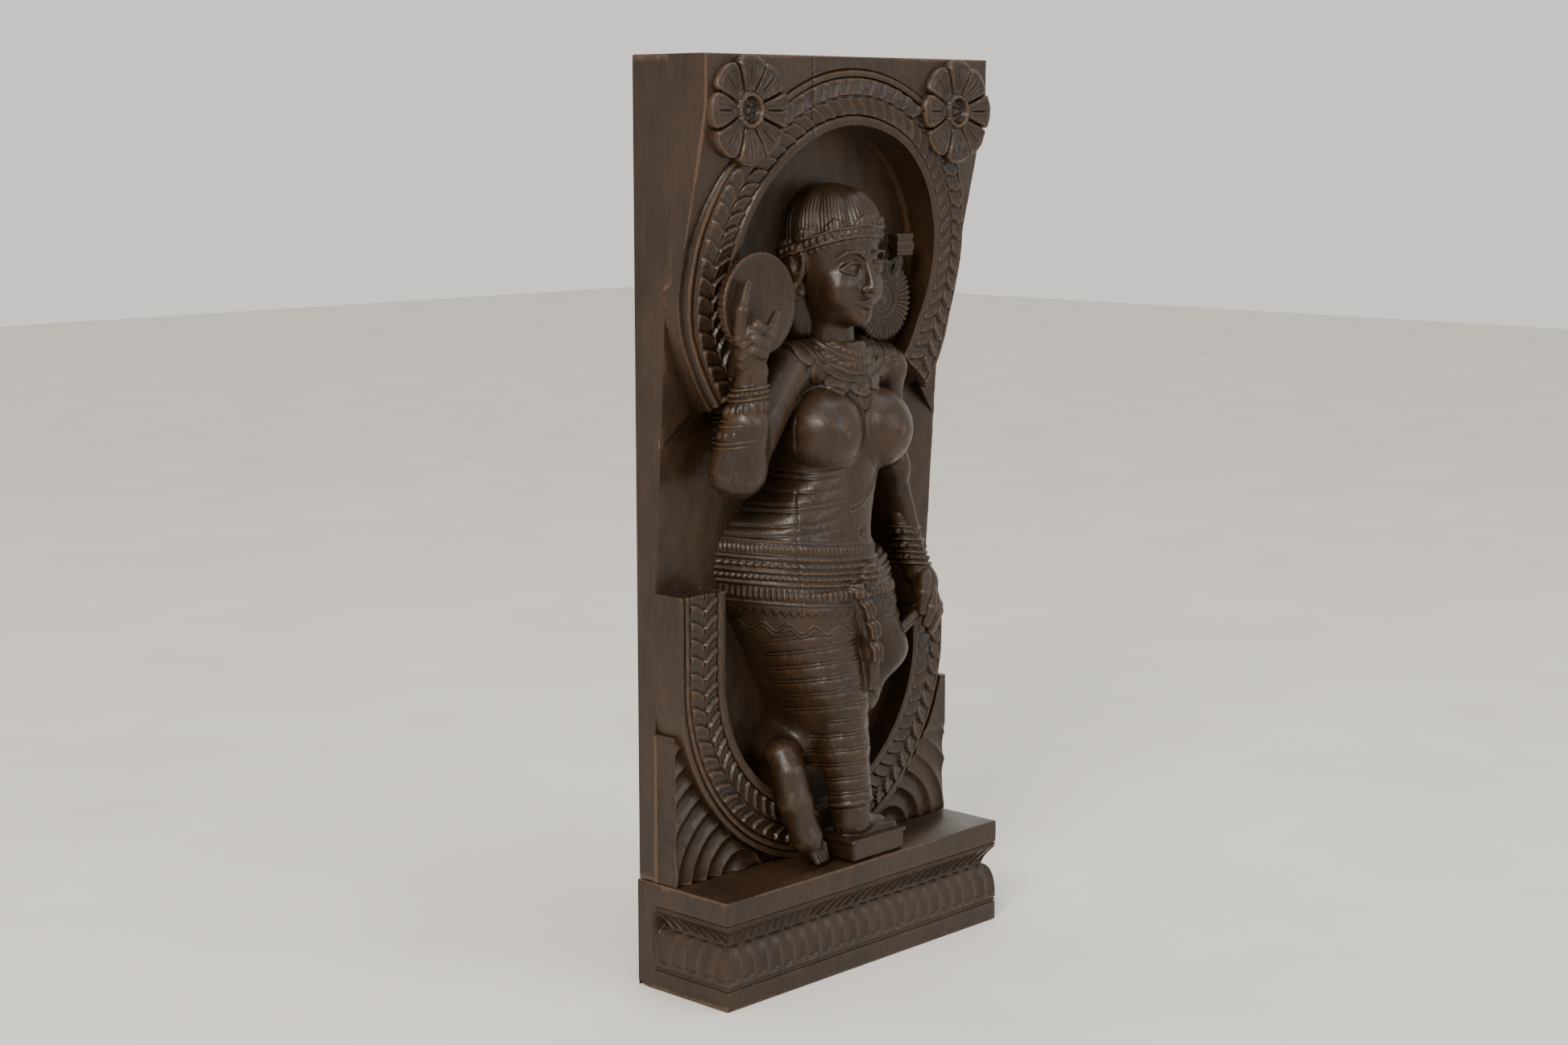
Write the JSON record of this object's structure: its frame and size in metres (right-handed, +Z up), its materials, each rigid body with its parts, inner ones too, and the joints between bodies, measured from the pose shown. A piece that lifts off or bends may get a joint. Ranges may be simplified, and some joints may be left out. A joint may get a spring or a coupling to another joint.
{
  "type": "carved wood relief panel",
  "caption": "Upright hardwood panel carved in high relief with a standing figure under a round arch, fixed to a moulded plinth that stands on a flat surface.",
  "frame": {"origin": "middle of the plinth's underside, on the surface that it stands on", "axes": "+Z up, -Y out of the carved front, +X to the right as seen from the front"},
  "size_m": [0.306, 0.0936, 0.68],
  "materials": {
    "dark_hardwood": "dark stained and waxed hardwood, satin, worn lighter on raised edges",
    "beech": "plain turned dowel, unfinished",
    "zinc_steel": "bright zinc plated steel screw"
  },
  "bodies": {
    "root": {"carved_panel": "dark_hardwood", "plinth": "dark_hardwood", "dowel_left": "beech", "dowel_right": "beech", "screw_left": "zinc_steel", "screw_right": "zinc_steel"}
  },
  "joints": []
}
